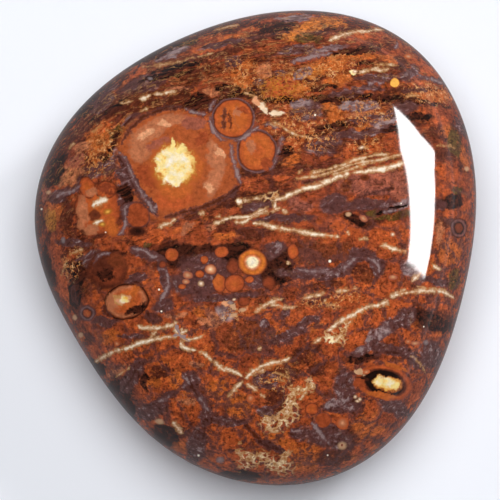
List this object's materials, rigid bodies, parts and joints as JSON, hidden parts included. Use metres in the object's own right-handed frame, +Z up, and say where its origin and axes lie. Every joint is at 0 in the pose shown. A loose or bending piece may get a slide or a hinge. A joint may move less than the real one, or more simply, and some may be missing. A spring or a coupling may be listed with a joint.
{
  "type": "leopard skin jasper",
  "caption": "Tumbled and polished leopard skin jasper pebble: a rounded slab with a domed top that rests on a small flat spot.",
  "frame": {"origin": "on the flat spot that the stone rests on, under the middle of its bounding box", "axes": "+Z up through the domed top, the stone's thinnest direction; +Y along its longest direction, which points up in the picture; +X to the right in the picture"},
  "size_m": [0.037, 0.04, 0.0164],
  "materials": {
    "polished_jasper": "polished"
  },
  "bodies": {
    "root": {"stone": "polished_jasper"}
  },
  "joints": []
}
